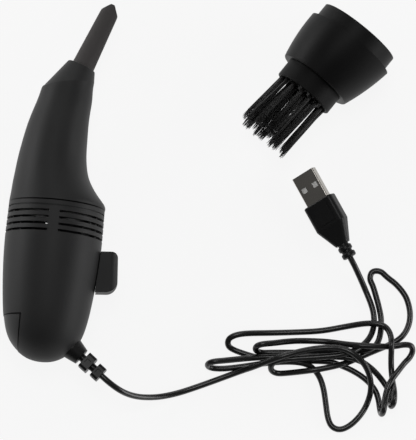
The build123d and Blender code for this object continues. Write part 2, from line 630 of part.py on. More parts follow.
with BuildPart() as armature_winding:
    for winding_at in (armature_at - WINDING_LENGTH, armature_at + ARMATURE_LENGTH):
        add(disc(BODY, winding_at, WINDING_LENGTH, winding_radius, SHAFT_RADIUS))
    fillet(armature_winding.edges().filter_by(GeomType.CIRCLE).group_by(
        lambda edge: edge.radius)[-1], radius=0.9)
write(armature_winding.part, "armature_winding")

commutator_at = motor_end - END_BELL - COMMUTATOR_LENGTH - 0.4
with BuildPart() as commutator:
    add(disc(BODY, commutator_at, COMMUTATOR_LENGTH, COMMUTATOR_RADIUS, SHAFT_RADIUS))
write(commutator.part, "commutator")

# Spring blades from the end bell touch the commutator and pass out as solder tabs
with BuildPart() as motor_brushes:
    for hand in (-1, 1):
        blade_from = commutator_at + 0.4
        blade_to = motor_end - END_BELL
        with Locations(spot(hand * (COMMUTATOR_RADIUS + 0.3), 0, (blade_from + blade_to) / 2)):
            Box(0.4, 2.5, blade_to - blade_from)
        with Locations(spot(hand * (COMMUTATOR_RADIUS + screw_spread) / 2, 0, blade_to - 0.2)):
            Box(screw_spread - COMMUTATOR_RADIUS + 0.5, 2.5, 0.35)
        with Locations(spot(hand * screw_spread, 0, blade_to + END_BELL / 2 + 1.6)):
            Box(0.5, 2.5, END_BELL + 3.6)
write(motor_brushes.part, "motor_brushes")

impeller_at = BULKHEAD_AT - IMPELLER_GAP - IMPELLER_PLATE
impeller_radius = FRONT_RADIUS - WALL - LEDGE_DEPTH - IMPELLER_CLEARANCE
shaft_from = impeller_at - IMPELLER_HEIGHT + 1.0
with BuildPart() as motor_shaft:
    add(disc(BODY, shaft_from, motor_end + MOTOR_NECK - shaft_from, SHAFT_RADIUS))
write(motor_shaft.part, "motor_shaft")

with BuildPart() as impeller:
    add(disc(BODY, impeller_at, IMPELLER_PLATE, impeller_radius))
    add(disc(BODY, impeller_at - IMPELLER_HEIGHT, IMPELLER_HEIGHT, IMPELLER_HUB))
    with BuildSketch(BODY.offset(impeller_at - IMPELLER_HEIGHT)):
        blade_length = impeller_radius - IMPELLER_HUB - 1.6
        with PolarLocations((impeller_radius + IMPELLER_HUB) / 2, BLADES):
            Rectangle(blade_length, BLADE, rotation=-BLADE_SWEEP)
    extrude(amount=IMPELLER_HEIGHT)
    add(disc(BODY, shaft_from, 4 * IMPELLER_HEIGHT, SHAFT_RADIUS), mode=Mode.SUBTRACT)
write(impeller.part, "impeller")

# ---------------------------------------------------------------- switch
knob_base_x = skin_radius(KNOB_AT) + KNOB_GAP
# z outwards, x along the slide
KNOB = Plane(spot(knob_base_x, 0, KNOB_AT, (0, 90 + KNOB_RISE, 0)))
KNOB_SIDE = Plane(origin=KNOB.origin, x_dir=-KNOB.x_dir, z_dir=KNOB.y_dir)
KNOB_END = Plane(origin=KNOB.origin, x_dir=KNOB.y_dir, z_dir=KNOB.x_dir)
with BuildPart() as switch_knob:
    knob_block = KNOB_HEIGHT + KNOB_ROOT
    with BuildSketch(KNOB_SIDE.offset(-KNOB_WIDTH / 2)) as knob_profile:
        with Locations((0, KNOB_HEIGHT - knob_block / 2)):
            Rectangle(KNOB_LENGTH, knob_block)
        top_corners = knob_profile.vertices().group_by(Axis.Y)[-1].sort_by(Axis.X)
        fillet(top_corners[0], radius=KNOB_FRONT_ROUND)
        top_corners = knob_profile.vertices().group_by(Axis.Y)[-1].sort_by(Axis.X)
        fillet(top_corners[-1], radius=KNOB_REAR_ROUND)
    extrude(amount=KNOB_WIDTH)
    with BuildPart(mode=Mode.PRIVATE) as knob_section:
        with BuildSketch(KNOB_END) as section:
            with Locations((0, KNOB_HEIGHT - knob_block / 2)):
                Rectangle(KNOB_WIDTH, knob_block)
            fillet(section.vertices().group_by(Axis.Y)[-1], radius=KNOB_SIDE_ROUND)
        extrude(amount=KNOB_LENGTH, both=True)
    add(knob_section.part, mode=Mode.INTERSECT)
    # The underside clears the housing's skin at each place of its travel
    for moved in (0, SWITCH_TRAVEL / 2, SWITCH_TRAVEL):
        add(skin_form(-KNOB_GAP).moved(Location(TAILWARD * moved)), mode=Mode.SUBTRACT)
    stem_depth = knob_base_x + 1.5 - switch_plate_x
    with Locations(spot(switch_plate_x + stem_depth / 2, 0, KNOB_AT)):
        Box(stem_depth, STEM_WIDTH, STEM_LENGTH)
write(switch_knob.part, "switch_knob")

with BuildPart() as switch_plate:
    with Locations(spot(switch_plate_x + SWITCH_PLATE / 2, 0, KNOB_AT)):
        Box(SWITCH_PLATE, SWITCH_PLATE_WIDTH, SWITCH_PLATE_LENGTH)
        Box(2 * SWITCH_PLATE, STEM_WIDTH, STEM_LENGTH, mode=Mode.SUBTRACT)
write(switch_plate.part, "switch_plate")

actuator_reach = switch_plate_x - board_x - BOARD - SWITCH_BODY[0] + ACTUATOR_GRIP
with BuildPart() as switch_actuator:
    with Locations(spot(switch_plate_x - actuator_reach / 2, 0, KNOB_AT)):
        Box(actuator_reach, ACTUATOR, ACTUATOR)
write(switch_actuator.part, "switch_actuator")

switch_body_x = board_x + BOARD + SWITCH_BODY[0] / 2
with BuildPart() as switch_body:
    with Locations(spot(switch_body_x, 0, KNOB_AT - SWITCH_TRAVEL / 2)):
        Box(*SWITCH_BODY)
    with Locations(spot(switch_body_x + SWITCH_BODY[0] / 2, 0, KNOB_AT - SWITCH_TRAVEL / 2)):
        Box(4.0, ACTUATOR + 2 * FIT, ACTUATOR + SWITCH_TRAVEL + 2 * FIT, mode=Mode.SUBTRACT)
write(switch_body.part, "switch_body")

# ---------------------------------------------------------------- circuit board
board_middle = (BOARD_FROM + board_end) / 2
with BuildPart() as circuit_board:
    with Locations(spot(board_x + BOARD / 2, 0, board_middle)):
        Box(BOARD, 2 * BOARD_HALF_WIDTH, BOARD_LENGTH)
write(circuit_board.part, "circuit_board")

with BuildPart() as capacitor:
    capacitor_at = board_end - CAPACITOR_RADIUS - 0.6
    with Locations(spot(board_x + BOARD + CAPACITOR_LENGTH / 2, 0, capacitor_at, (0, 90, 0))):
        Cylinder(CAPACITOR_RADIUS, CAPACITOR_LENGTH)
write(capacitor.part, "capacitor")

wire_x = board_x + BOARD / 2
with BuildPart() as supply_leads:
    for height, side in ((8.2, -0.65), (6.9, 0.65)):
        route = body_points([
            (wire_x, height, board_end),
            (wire_x, height, board_end + 2.8),
            (wire_x - 1.6, height, board_end + 7),
            (wire_x - 5.7 - side, height - 3.2, board_end + 11.5),
        ])
        for inside in (STUB_INSIDE + 3.2, STUB_INSIDE):
            route.append(tuple((RELIEF.location * Location((side, 0, -inside))).position))
        add(wire(route, WIRE_RADIUS))
write(supply_leads.part, "supply_leads")

with BuildPart() as motor_leads:
    terminal_at = motor_end + END_BELL + 0.5
    for height, hand, middle in ((-8.2, -1, (-1.5, -7.5)), (-6.9, 1, (9.5, -4.5))):
        add(wire(body_points([
            (wire_x, height, board_end),
            (wire_x, height, board_end + 2.8),
            (wire_x - 1.6, height, board_end + 7),
            (*middle, terminal_at + 2.4),
            (hand * screw_spread, 0, terminal_at + 2.8),
            (hand * screw_spread, 0, terminal_at),
        ]), WIRE_RADIUS))
write(motor_leads.part, "motor_leads")

# ---------------------------------------------------------------- strain relief
relief_end = RELIEF_RIBS[-1][0] + RELIEF_RIBS[-1][1]
with BuildPart() as strain_relief:
    add(disc(RELIEF, -RELIEF_INSIDE - RELIEF_FLANGE, RELIEF_FLANGE, RELIEF_FLANGE_RADIUS))
    add(disc(RELIEF, -RELIEF_INSIDE, RELIEF_INSIDE + 0.5, RELIEF_BASE_RADIUS))
    with BuildSketch(RELIEF.offset(0.5)):
        Circle(RELIEF_BASE_RADIUS)
    with BuildSketch(RELIEF.offset(RELIEF_CONE)):
        Circle(RELIEF_CONE_END_RADIUS)
    loft()
    add(disc(RELIEF, 0, relief_end, RELIEF_NECK_RADIUS))
    for rib_from, rib_thickness, rib_width in RELIEF_RIBS:
        with BuildSketch(RELIEF.offset(rib_from)):
            RectangleRounded(rib_width, rib_width, RELIEF_RIB_ROUND)
        extrude(amount=rib_thickness)
        for quarter in range(4):
            turn = 90 * quarter
            side_place = RELIEF.location * Location((0, 0, rib_from + rib_thickness / 2), (0, 0, turn))
            with Locations(side_place * Location((rib_width / 2, 0, 0))):
                Box(2 * RELIEF_WINDOW[1], RELIEF_WINDOW[0], RELIEF_WINDOW[0], mode=Mode.SUBTRACT)
    add(disc(RELIEF, -2 * RELIEF_INSIDE, 4 * relief_end, CORD_BORE / 2), mode=Mode.SUBTRACT)
write(strain_relief.part, "strain_relief")

with BuildPart() as cord_stub:
    add(disc(RELIEF, -STUB_INSIDE, STUB_INSIDE + relief_end, CORD_DIAMETER / 2))
write(cord_stub.part, "cord_stub")

with BuildPart() as cord_stop:
    add(disc(RELIEF, -RELIEF_INSIDE - RELIEF_FLANGE - SEAT - CORD_STOP, CORD_STOP,
             CORD_STOP_RADIUS, CORD_DIAMETER / 2))
write(cord_stop.part, "cord_stop")

# ---------------------------------------------------------------- USB-A plug
heading = math.radians(PLUG_HEADING)
roll = math.radians(PLUG_ROLL)
plug_height = (OVERMOULD[0] / 2 - OVERMOULD_ROUND) * math.sin(roll)
plug_height += (OVERMOULD[1] / 2 - OVERMOULD_ROUND) * math.cos(roll) + OVERMOULD_ROUND
plug_along = Vector(math.cos(heading), math.sin(heading), 0)
plug_across = Vector(-math.sin(heading) * math.cos(roll), math.cos(heading) * math.cos(roll),
                     math.sin(roll))
# x across the plug's width, y out of its face, z from the open end to the lead
PLUG = Plane(origin=(PLUG_X, PLUG_Y, plug_height), x_dir=plug_across, z_dir=plug_along)

shell_width, shell_thickness, shell_sheet = SHELL
with BuildPart() as plug_shell:
    with BuildSketch(PLUG):
        RectangleRounded(shell_width, shell_thickness, SHELL_ROUND)
        RectangleRounded(shell_width - 2 * shell_sheet, shell_thickness - 2 * shell_sheet,
                         SHELL_ROUND - shell_sheet, mode=Mode.SUBTRACT)
    extrude(amount=SHELL_LENGTH)
    window_place = PLUG.location * Location((0, 0, SHELL_WINDOW_AT))
    for hand in (-1, 1):
        with Locations(window_place * Location((hand * SHELL_WINDOW_SPREAD, 0, 0))):
            Box(SHELL_WINDOW, 2 * shell_thickness, SHELL_WINDOW, mode=Mode.SUBTRACT)
write(plug_shell.part, "plug_shell")

tongue_y = shell_thickness / 2 - shell_sheet - TONGUE_THICKNESS / 2 - SEAT
with BuildPart() as plug_tongue:
    with BuildSketch(PLUG.offset(TONGUE_INSET)):
        with Locations((0, tongue_y)):
            Rectangle(shell_width - 2 * SHELL_ROUND, TONGUE_THICKNESS)
    extrude(amount=SHELL_LENGTH - TONGUE_INSET)
write(plug_tongue.part, "plug_tongue")

with BuildPart() as plug_contacts:
    contact_y = tongue_y - TONGUE_THICKNESS / 2 - CONTACT_THICKNESS / 2
    for index in range(CONTACTS):
        contact_x = (index - (CONTACTS - 1) / 2) * CONTACT_PITCH
        contact_z = SHELL_LENGTH / 2 + TONGUE_INSET
        with Locations(PLUG.location * Location((contact_x, contact_y, contact_z))):
            Box(CONTACT_WIDTH, CONTACT_THICKNESS, SHELL_LENGTH - 2 * TONGUE_INSET)
write(plug_contacts.part, "plug_contacts")

overmould_end = SHELL_EXPOSED + OVERMOULD_STRAIGHT + OVERMOULD_TAPER
plug_end = overmould_end + PLUG_RIBS * PLUG_RIB_PITCH
with BuildPart() as plug_overmould:
    with BuildSketch(PLUG.offset(SHELL_EXPOSED)):
        RectangleRounded(*OVERMOULD, OVERMOULD_ROUND)
    extrude(amount=OVERMOULD_STRAIGHT)
    with BuildSketch(PLUG.offset(SHELL_EXPOSED + OVERMOULD_STRAIGHT)):
        RectangleRounded(*OVERMOULD, OVERMOULD_ROUND)
    with BuildSketch(PLUG.offset(overmould_end)):
        RectangleRounded(*OVERMOULD_NECK, OVERMOULD_ROUND)
    loft()
    fillet(plug_overmould.faces().sort_by(Axis(PLUG.origin, PLUG.z_dir))[0].edges(),
           radius=OVERMOULD_EDGE)
    add(disc(PLUG, overmould_end, plug_end - overmould_end, PLUG_RIB_NECK))
    for index in range(PLUG_RIBS):
        with BuildPart(mode=Mode.PRIVATE) as plug_rib:
            add(disc(PLUG, overmould_end + (index + 1) * PLUG_RIB_PITCH - PLUG_RIB, PLUG_RIB,
                     PLUG_RIB_RADIUS))
            fillet(plug_rib.edges().filter_by(GeomType.CIRCLE), radius=PLUG_RIB_ROUND)
        add(plug_rib.part)
    panel_width, panel_length, panel_proud = PANEL
    panel_place = (0, 0, SHELL_EXPOSED + OVERMOULD_STRAIGHT / 2)
    with Locations(PLUG.location * Location(panel_place)):
        Box(panel_width, OVERMOULD[1] + 2 * panel_proud, panel_length)
    with Locations(PLUG.location * Location((0, 0, SHELL_EXPOSED))):
        Box(shell_width + 2 * SEAT, shell_thickness + 2 * SEAT,
            2 * (SHELL_LENGTH - SHELL_EXPOSED + SEAT), mode=Mode.SUBTRACT)
write(plug_overmould.part, "plug_overmould")

# ---------------------------------------------------------------- lead
relief_tip = (RELIEF.location * Location((0, 0, relief_end))).position
relief_ahead = (RELIEF.location * Location((0, 0, relief_end + 8))).position
lead_route = [
    tuple(relief_tip),
    tuple(relief_ahead),
    (-31.5, -102.0, 15.5),
    (-21.0, -101.6, 7.5),
    (-11.0, -99.2, 2.6),
    (-0.5, -95.6, 1.6),
    (11.0, -91.4, 1.6),
    (21.0, -87.8, 2.6),
]
with BuildPart() as power_cord:
    add(wire(lead_route, CORD_DIAMETER / 2))
write(power_cord.part, "power_cord")

plug_tip = (PLUG.location * Location((0, 0, plug_end))).position
plug_ahead = (PLUG.location * Location((0, 0, plug_end + 4.5))).position
plug_route = [
    tuple(plug_tip),
    tuple(plug_ahead),
    (77.1, -42.8, 3.4),
    (79.7, -48.6, 1.7),
    (82.5, -55.5, 1.6),
]
with BuildPart() as plug_cord:
    add(wire(plug_route, CORD_DIAMETER / 2))
write(plug_cord.part, "plug_cord")

# Outer shape of the loosely folded part of the lead
hank_outline = [
    (1.0, -87.5), (11.0, -72.5), (20.0, -69.0), (48.5, -68.0), (70.0, -64.5), (80.0, -63.0),
    (79.5, -53.5), (80.3, -43.5), (85.0, -40.0), (95.0, -45.0), (101.5, -54.0), (103.5, -63.0),
    (103.5, -80.5), (95.5, -91.5), (93.5, -105.0), (88.5, -111.5), (78.0, -111.5), (72.0, -117.8),
    (65.5, -118.3), (60.0, -113.8), (55.0, -92.5), (16.0, -92.0), (3.5, -90.5),
]
with BuildPart() as cord_hank:
    with BuildSketch() as hank_plan:
        with BuildLine():
            Polyline(*hank_outline, close=True)
        make_face()
        fillet(hank_plan.vertices(), radius=HANK_ROUND)
    extrude(amount=HANK_HEIGHT)
write(cord_hank.part, "cord_hank")

# ---------------------------------------------------------------- brush head
brush_turn = math.radians(BRUSH_HEADING)
bristleward = Vector(math.cos(brush_turn), math.sin(brush_turn), 0)
brush_across = Vector(-math.sin(brush_turn), math.cos(brush_turn), 0)
# x across, y up, z towards the bristles
BRUSH = Plane(origin=(BRUSH_X, BRUSH_Y, FRONT_RADIUS), x_dir=brush_across, z_dir=bristleward)
# the same for the bristle block, beside the collar's axis
BLOCK = Plane(BRUSH.location * Location((-CUP_DRIFT, 0, 0)))
cup_end_drop = FRONT_RADIUS - CUP_END_DEPTH / 2


def cup_form(inset, length):
    """The brush cup's solid form: round at the shoulder, oval, level-bottomed and off-axis at its end."""
    middle_share = CUP_MIDDLE_AT / CUP_LENGTH
    with BuildPart() as form:
        with BuildSketch(BRUSH):
            Circle(FRONT_RADIUS - inset)
        with BuildSketch(BRUSH.offset(length * middle_share)):
            with Locations((-CUP_DRIFT * middle_share, -cup_end_drop / 4)):
                Ellipse(CUP_MIDDLE_RADIUS - inset, FRONT_RADIUS - cup_end_drop / 4 - inset)
        with BuildSketch(BRUSH.offset(length)):
            with Locations((-CUP_DRIFT, -cup_end_drop)):
                Ellipse(CUP_END_WIDTH / 2 - inset, CUP_END_DEPTH / 2 - inset)
        loft()
    return form.part


with BuildPart() as brush_cup:
    add(cup_form(0, CUP_LENGTH))
    fillet(brush_cup.faces().sort_by(Axis(BRUSH.origin, BRUSH.z_dir))[-1].edges(), radius=CUP_EDGE)
    add(cup_form(CUP_WALL, CUP_LENGTH - CUP_FLOOR), mode=Mode.SUBTRACT)
    add(disc(BRUSH, -COLLAR_LENGTH, COLLAR_LENGTH + 1, spigot_radius, spigot_radius - COLLAR_WALL))
    add(disc(BRUSH, 0, COLLAR_ROOT, spigot_radius + 1, spigot_radius - COLLAR_WALL))
    add(disc(BRUSH, -COLLAR_GROOVE, COLLAR_GROOVE, FRONT_RADIUS, spigot_radius - COLLAR_GROOVE_DEPTH),
        mode=Mode.SUBTRACT)
    add(disc(BLOCK, CUP_LENGTH / 2, 2 * CUP_LENGTH, BLOCK_RADIUS + SEAT), mode=Mode.SUBTRACT)
write(brush_cup.part, "brush_cup")

block_from = CUP_LENGTH - CUP_FLOOR - SEAT
with BuildPart() as bristle_block:
    add(disc(BLOCK, block_from - BLOCK_HEAD, BLOCK_HEAD, BLOCK_HEAD_RADIUS))
    add(disc(BLOCK, block_from, CUP_FLOOR + BLOCK_PROUD, BLOCK_RADIUS))
    fillet(bristle_block.faces().sort_by(Axis(BRUSH.origin, BRUSH.z_dir))[-1].edges(), radius=0.6)
    add(disc(BLOCK, 0, 3 * CUP_LENGTH, BLOCK_EYE), mode=Mode.SUBTRACT)
write(bristle_block.part, "bristle_block")

tuft_seat = block_from + CUP_FLOOR + BLOCK_PROUD + SEAT
with BuildPart() as bristle_tufts:
    for ring_radius, tufts in TUFT_RINGS:
        for index in range(tufts):
            turn = 360 * index / tufts
            place = BLOCK.location * Location((0, 0, 0), (0, 0, turn))
            with Locations(place * Location((ring_radius, 0, tuft_seat + TUFT_ROOT / 2))):
                Cylinder(TUFT_RADIUS, TUFT_ROOT)
            bedded = tuft_seat + TUFT_ROOT - TUFT_BEDDING
            upright = place * Location((ring_radius, 0, bedded), (0, 0, -turn))
            swayed = upright * Location((0, 0, 0), (0, -TUFT_SWAY, 0))
            leaning = swayed * Location((0, 0, 0), (0, 0, turn)) * Location((0, 0, 0), (0, -TUFT_LEAN, 0))
            with Locations(leaning * Location((0, 0, TUFT_LENGTH / 2))):
                Cone(TUFT_RADIUS - TUFT_STEP, TUFT_TIP_RADIUS, TUFT_LENGTH)
write(bristle_tufts.part, "bristle_tufts")

for route_name, route in (("power_cord", lead_route), ("plug_cord", plug_route)):
    print(route_name, "bend radii", [round(radius, 1) for radius in bend_radii(route)])
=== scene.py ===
"""Looks of the desktop mini vacuum cleaner with its brush head and USB lead.

The CAD frame carries every hard piece. This script gives the pieces their materials and
replaces the lead, the bristles and the filter with detailed ones.
"""
import math
import random

import bpy
from mathutils import Matrix, Vector


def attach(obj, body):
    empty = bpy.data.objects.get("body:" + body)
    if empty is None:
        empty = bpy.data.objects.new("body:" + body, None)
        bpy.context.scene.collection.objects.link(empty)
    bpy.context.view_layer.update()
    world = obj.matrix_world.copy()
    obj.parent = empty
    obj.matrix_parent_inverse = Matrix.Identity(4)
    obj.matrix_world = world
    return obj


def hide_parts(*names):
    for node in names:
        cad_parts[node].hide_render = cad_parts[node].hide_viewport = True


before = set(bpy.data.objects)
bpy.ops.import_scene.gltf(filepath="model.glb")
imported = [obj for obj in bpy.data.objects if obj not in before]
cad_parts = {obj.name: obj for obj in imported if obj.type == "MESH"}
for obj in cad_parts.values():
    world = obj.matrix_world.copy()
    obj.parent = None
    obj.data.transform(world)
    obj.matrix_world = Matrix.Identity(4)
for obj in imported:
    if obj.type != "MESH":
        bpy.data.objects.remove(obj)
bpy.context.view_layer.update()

MM = 0.001
BODY_PLACE = Vector((-67.35, -12.0, 23.1))  # centre of the housing's front rim
BODY_LEAN = math.radians(5.6)               # the nose leans from +Y towards +X
sideways = Vector((math.cos(BODY_LEAN), -math.sin(BODY_LEAN), 0))
tailward = Vector((-math.sin(BODY_LEAN), -math.cos(BODY_LEAN), 0))


def new_object(name, data):
    """An object with this data, in the scene."""
    made = bpy.data.objects.new(name, data)
    bpy.context.scene.collection.objects.link(made)
    return made


# ---------------------------------------------------------------- camera
CAMERA_ELEVATION = math.radians(81.0)
CAMERA_DISTANCE = 2.5
CAMERA_NEAR, CAMERA_FAR = 0.1, 20.0
SENSOR = 36.0                               # mm, along the frame's long side
FRAME_HEIGHT = 0.2095                       # what the long side shows at the target
CAMERA_TARGET = Vector((4.5, -17.9, 20.0)) * MM

camera_data = bpy.data.cameras.new("camera")
camera_data.type = "PERSP"
camera_data.sensor_width = SENSOR
camera_data.lens = SENSOR * CAMERA_DISTANCE / FRAME_HEIGHT
camera_data.clip_start = CAMERA_NEAR
camera_data.clip_end = CAMERA_FAR
camera = new_object("camera", camera_data)
back = Vector((0, -math.cos(CAMERA_ELEVATION), math.sin(CAMERA_ELEVATION)))
camera.location = CAMERA_TARGET + back * CAMERA_DISTANCE
camera.rotation_mode = "QUATERNION"
camera.rotation_quaternion = back.to_track_quat("Z", "Y")
bpy.context.scene.camera = camera


# ---------------------------------------------------------------- materials
NOISE_LOW, NOISE_HIGH = 0.3, 0.7            # where nearly all of a noise texture's values lie
SLOW_SCALE, SLOW_DETAIL = 45.0, 3.0         # patches of colour and gloss, per metre
GRAIN_DETAIL = 2.0
GRAIN_STRENGTH = 0.35
COAT_ROUGHNESS = 0.25
# painted shade: the black of the shade in the gaps where mouldings meet
SEAM_SHADE_COLOR = (0.001, 0.001, 0.001)
SEAM_SHADE_CORE = 0.6                             # of a painted seam shade line's width, the fully dark part


def new_material(name):
    """A node material that holds its output and a Principled shader."""
    material = bpy.data.materials.new(name)
    material.use_nodes = True
    nodes = material.node_tree.nodes
    nodes.clear()
    output = nodes.new("ShaderNodeOutputMaterial")
    shader = nodes.new("ShaderNodeBsdfPrincipled")
    material.node_tree.links.new(shader.outputs["BSDF"], output.inputs["Surface"])
    return material, nodes, material.node_tree.links, shader


def noise(nodes, links, place, scale, detail):
    """A noise texture on object coordinates; scale is in features per metre."""
    texture = nodes.new("ShaderNodeTexNoise")
    texture.inputs["Scale"].default_value = scale
    texture.inputs["Detail"].default_value = detail
    links.new(place.outputs["Object"], texture.inputs["Vector"])
    return texture


def spread(nodes, links, source, low, high):
    """Maps a noise texture's value onto a range."""
    ranged = nodes.new("ShaderNodeMapRange")
    ranged.inputs["From Min"].default_value = NOISE_LOW
    ranged.inputs["From Max"].default_value = NOISE_HIGH
    ranged.inputs["To Min"].default_value = low
    ranged.inputs["To Max"].default_value = high
    links.new(source, ranged.inputs["Value"])
    return ranged.outputs["Result"]


def blended(nodes, links, share, first, second):
    """The second colour where the share is 1, and the first, or another output, where it is 0."""
    blend = nodes.new("ShaderNodeMix")
    blend.data_type = "RGBA"
    if isinstance(first, tuple):
        blend.inputs["A"].default_value = (*first, 1.0)
    else:
        links.new(first, blend.inputs["A"])
    blend.inputs["B"].default_value = (*second, 1.0)
    links.new(share, blend.inputs["Factor"])
    return blend.outputs["Result"]


def bumped(nodes, links, shader, height, strength, depth):
    """Gives a shader a relief of this depth, in millimetres."""
    bump = nodes.new("ShaderNodeBump")
    bump.inputs["Strength"].default_value = strength
    bump.inputs["Distance"].default_value = depth * MM
    links.new(height, bump.inputs["Height"])
    links.new(bump.outputs["Normal"], shader.inputs["Normal"])


def math_node(nodes, links, operation, first, second=None):
    """The output of a math node, whose second input is a number or another output."""
    node = nodes.new("ShaderNodeMath")
    node.operation = operation
    links.new(first, node.inputs[0])
    if isinstance(second, float):
        node.inputs[1].default_value = second
    elif second is not None:
        links.new(second, node.inputs[1])
    return node.outputs["Value"]


def seam_shade_share(nodes, links, place, seam_shades):
    """1 on the lines of painted gap shade where mouldings meet, 0 away from them.

    A seam is the border of a region, as half the line's width and the planes that bound the
    region, each a normal that points out of it and a distance along that normal, in metres.
    """
    share = None
    for half_width, planes in seam_shades:
        outside = None
        for normal, distance in planes:
            along = nodes.new("ShaderNodeVectorMath")
            along.operation = "DOT_PRODUCT"
            along.inputs[1].default_value = normal
            links.new(place.outputs["Object"], along.inputs[0])
            beyond = math_node(nodes, links, "SUBTRACT", along.outputs["Value"], distance)
            if outside is not None:
                beyond = math_node(nodes, links, "MAXIMUM", outside, beyond)
            outside = beyond
        line = nodes.new("ShaderNodeMapRange")
        line.inputs["From Min"].default_value = SEAM_SHADE_CORE * half_width
        line.inputs["From Max"].default_value = half_width
        line.inputs["To Min"].default_value = 1.0
        line.inputs["To Max"].default_value = 0.0
        links.new(math_node(nodes, links, "ABSOLUTE", outside), line.inputs["Value"])
        drawn_shade = line.outputs["Result"]
        if share is not None:
            drawn_shade = math_node(nodes, links, "MAXIMUM", share, drawn_shade)
        share = drawn_shade
    return share


def moulded(name, dark, light, rough, grain=2400.0, grain_depth=0.012, coat=0.0, metallic=0.0,
            shine=0.5, seam_shades=()):
    """A moulded or plated surface: fine grain, slow colour and gloss changes.

    dark and light are the two ends of its colour, rough the range of its roughness, grain its
    grain's features per metre, grain_depth in millimetres, shine is how strongly it mirrors,
    and seam_shades are the lines along which it meets its neighbours, painted black as gap shade.
    """
    material, nodes, links, shader = new_material(name)
    place = nodes.new("ShaderNodeTexCoord")
    slow = noise(nodes, links, place, SLOW_SCALE, SLOW_DETAIL)
    fine = noise(nodes, links, place, grain, GRAIN_DETAIL)
    share = spread(nodes, links, slow.outputs["Fac"], 0.0, 1.0)
    color = blended(nodes, links, share, dark, light)
    shader.inputs["Metallic"].default_value = metallic
    # painted shade: dark lines where the mouldings meet, standing in for the shade in their gaps
    if seam_shades:
        line = seam_shade_share(nodes, links, place, seam_shades)
        color = blended(nodes, links, line, color, SEAM_SHADE_COLOR)
        links.new(line, shader.inputs["Metallic"])  # painted shade: black and mirroring nothing, as a gap is
    links.new(color, shader.inputs["Base Color"])
    links.new(spread(nodes, links, slow.outputs["Fac"], *rough), shader.inputs["Roughness"])
    bumped(nodes, links, shader, fine.outputs["Fac"], GRAIN_STRENGTH, grain_depth)
    shader.inputs["Specular IOR Level"].default_value = shine
    shader.inputs["Coat Weight"].default_value = coat
    shader.inputs["Coat Roughness"].default_value = COAT_ROUGHNESS
    return material


CORNER_X, CORNER_AT = -11.3, 54.7           # the corner cover's two straight edges
RIM_SHADE_LINE, CORNER_SHADE_LINE = 0.40, 0.38          # half the width of each seam's painted shade line
# painted shade along the housing's rim and along the corner cover's edges
rim_seam_shade = (RIM_SHADE_LINE * MM, [(tailward, BODY_PLACE.dot(tailward) * MM)])
corner_seam_shade = (CORNER_SHADE_LINE * MM, [
    (sideways, (BODY_PLACE.dot(sideways) + CORNER_X) * MM),
    (-tailward, -(BODY_PLACE.dot(tailward) + CORNER_AT) * MM),
])
housing_black = moulded("housing_black", (0.0185, 0.0185, 0.0188), (0.022, 0.022, 0.0223),
                        (0.50, 0.56), shine=0.28, seam_shades=[rim_seam_shade, corner_seam_shade])
knob_black = moulded("knob_black", (0.008, 0.008, 0.0083), (0.011, 0.011, 0.0113),
                     (0.48, 0.56), shine=0.34)
corner_black = moulded("corner_black", (0.010, 0.010, 0.0105), (0.014, 0.014, 0.0145),
                       (0.42, 0.50), shine=0.34, seam_shades=[corner_seam_shade])
brush_black = moulded("brush_black", (0.0045, 0.0045, 0.0046), (0.006, 0.006, 0.0061),
                      (0.42, 0.50), shine=0.16)
block_black = moulded("block_black", (0.003, 0.003, 0.003), (0.0045, 0.0045, 0.0045),
                      (0.50, 0.60), shine=0.14)
nozzle_grey = moulded("nozzle_grey", (0.062, 0.058, 0.057), (0.072, 0.067, 0.066), (0.60, 0.70),
                      grain=3200.0, grain_depth=0.02, shine=0.22)
pvc_black = moulded("pvc_black", (0.0045, 0.0045, 0.0048), (0.0065, 0.0065, 0.0068), (0.34, 0.42),
                    grain=3000.0, grain_depth=0.006, shine=0.3)
cord_black = moulded("cord_black", (0.005, 0.005, 0.005), (0.008, 0.008, 0.008), (0.24, 0.30),
                     grain=2600.0, grain_depth=0.004, shine=0.6)
bristle_black = moulded("bristle_black", (0.004, 0.004, 0.004), (0.010, 0.009, 0.009),
                        (0.38, 0.50))
nickel = moulded("nickel", (0.33, 0.315, 0.29), (0.42, 0.40, 0.37), (0.16, 0.24),
                 grain=5200.0, grain_depth=0.003, metallic=1.0)
steel = moulded("steel", (0.46, 0.46, 0.47), (0.58, 0.58, 0.60), (0.28, 0.40),
                grain=3600.0, grain_depth=0.008, metallic=1.0)
dull_steel = moulded("dull_steel", (0.22, 0.22, 0.23), (0.32, 0.32, 0.34), (0.40, 0.52),
                     grain=3200.0, grain_depth=0.010, metallic=1.0)
screw_black = moulded("screw_black", (0.06, 0.06, 0.065), (0.10, 0.10, 0.105), (0.34, 0.46),
                      grain=4200.0, grain_depth=0.008, metallic=1.0)
ferrite = moulded("ferrite", (0.020, 0.019, 0.019), (0.035, 0.033, 0.032), (0.60, 0.72),
                  grain=1500.0, grain_depth=0.03)
copper = moulded("copper", (0.50, 0.17, 0.07), (0.64, 0.25, 0.11), (0.24, 0.34),
                 grain=2800.0, grain_depth=0.02, metallic=1.0)
bronze = moulded("bronze", (0.34, 0.22, 0.10), (0.48, 0.33, 0.15), (0.36, 0.48), metallic=1.0)
gold = moulded("gold", (0.78, 0.54, 0.20), (0.86, 0.62, 0.27), (0.18, 0.28), metallic=1.0)
natural_nylon = moulded("natural_nylon", (0.58, 0.56, 0.50), (0.68, 0.66, 0.60), (0.38, 0.48))
white_plastic = moulded("white_plastic", (0.80, 0.80, 0.78), (0.86, 0.86, 0.84), (0.34, 0.44))
board_green = moulded("board_green", (0.006, 0.050, 0.020), (0.010, 0.075, 0.030), (0.22, 0.32),
                      grain=1200.0, grain_depth=0.02, coat=0.4)
capacitor_blue = moulded("capacitor_blue", (0.010, 0.016, 0.060), (0.014, 0.022, 0.085),
                         (0.24, 0.34))
lead_red = moulded("lead_red", (0.26, 0.010, 0.010), (0.34, 0.016, 0.014), (0.32, 0.42))

